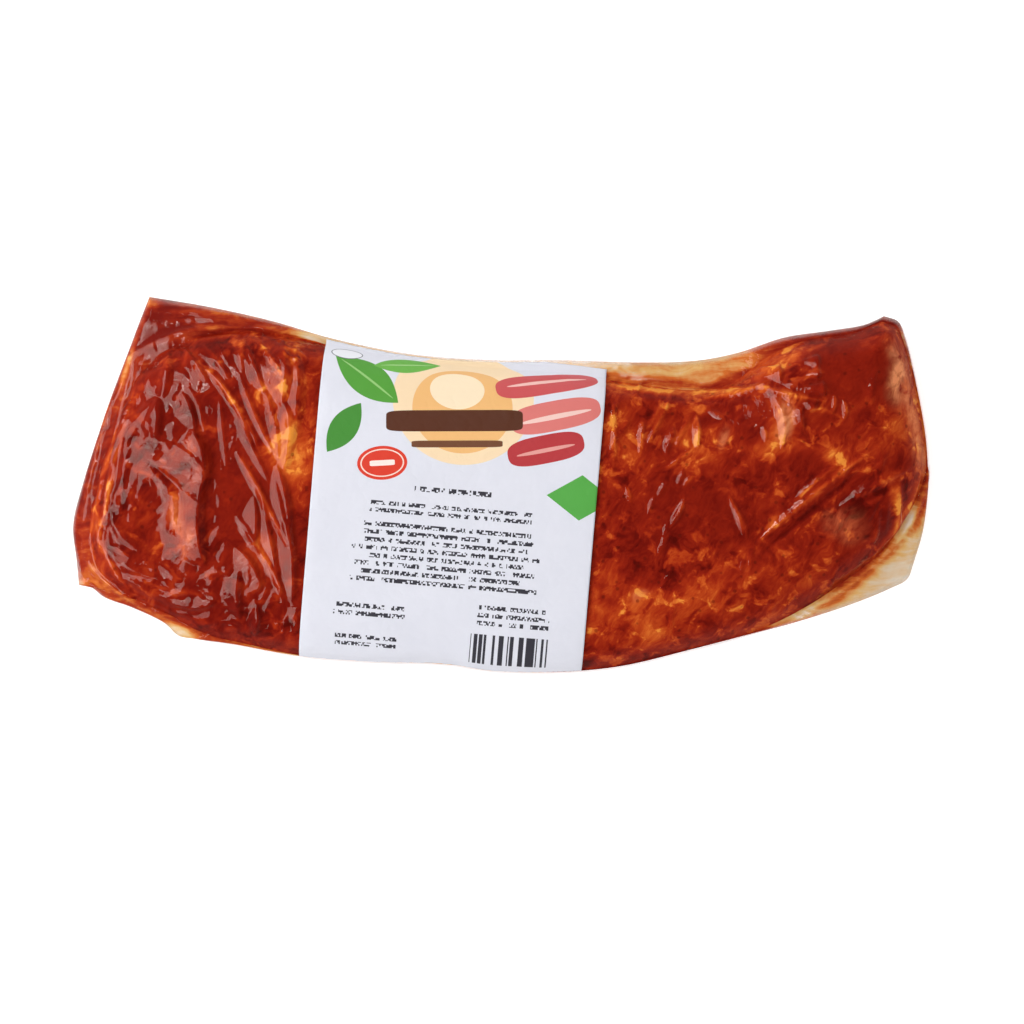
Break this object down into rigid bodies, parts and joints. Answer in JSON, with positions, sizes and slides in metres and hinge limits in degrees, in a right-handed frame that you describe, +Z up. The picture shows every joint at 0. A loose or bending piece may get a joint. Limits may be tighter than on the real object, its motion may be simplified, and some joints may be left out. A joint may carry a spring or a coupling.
{
  "type": "vacuum packed pork ribs",
  "caption": "Rack of marinated pork ribs shrunk into a clear vacuum bag with loose film edges, lying flat with a plain printed label across its middle.",
  "frame": {"origin": "on the table under the middle of the pack's bounding box", "axes": "+X along the rack, towards its rounder right end as seen with the label upright; +Y towards the top of the label, the rack's hollow side; +Z up"},
  "size_m": [0.38, 0.1676, 0.033],
  "materials": {
    "marinated_meat": "pork in a red-brown oily marinade, mottled with orange fat, seen through tight glossy film",
    "clear_film": "clear crinkled vacuum film, hazy where loose",
    "label_film": "satin white self-adhesive label with printed fields of colour"
  },
  "bodies": {
    "root": {"vacuum_pack": "marinated_meat", "label": "label_film"}
  },
  "joints": []
}
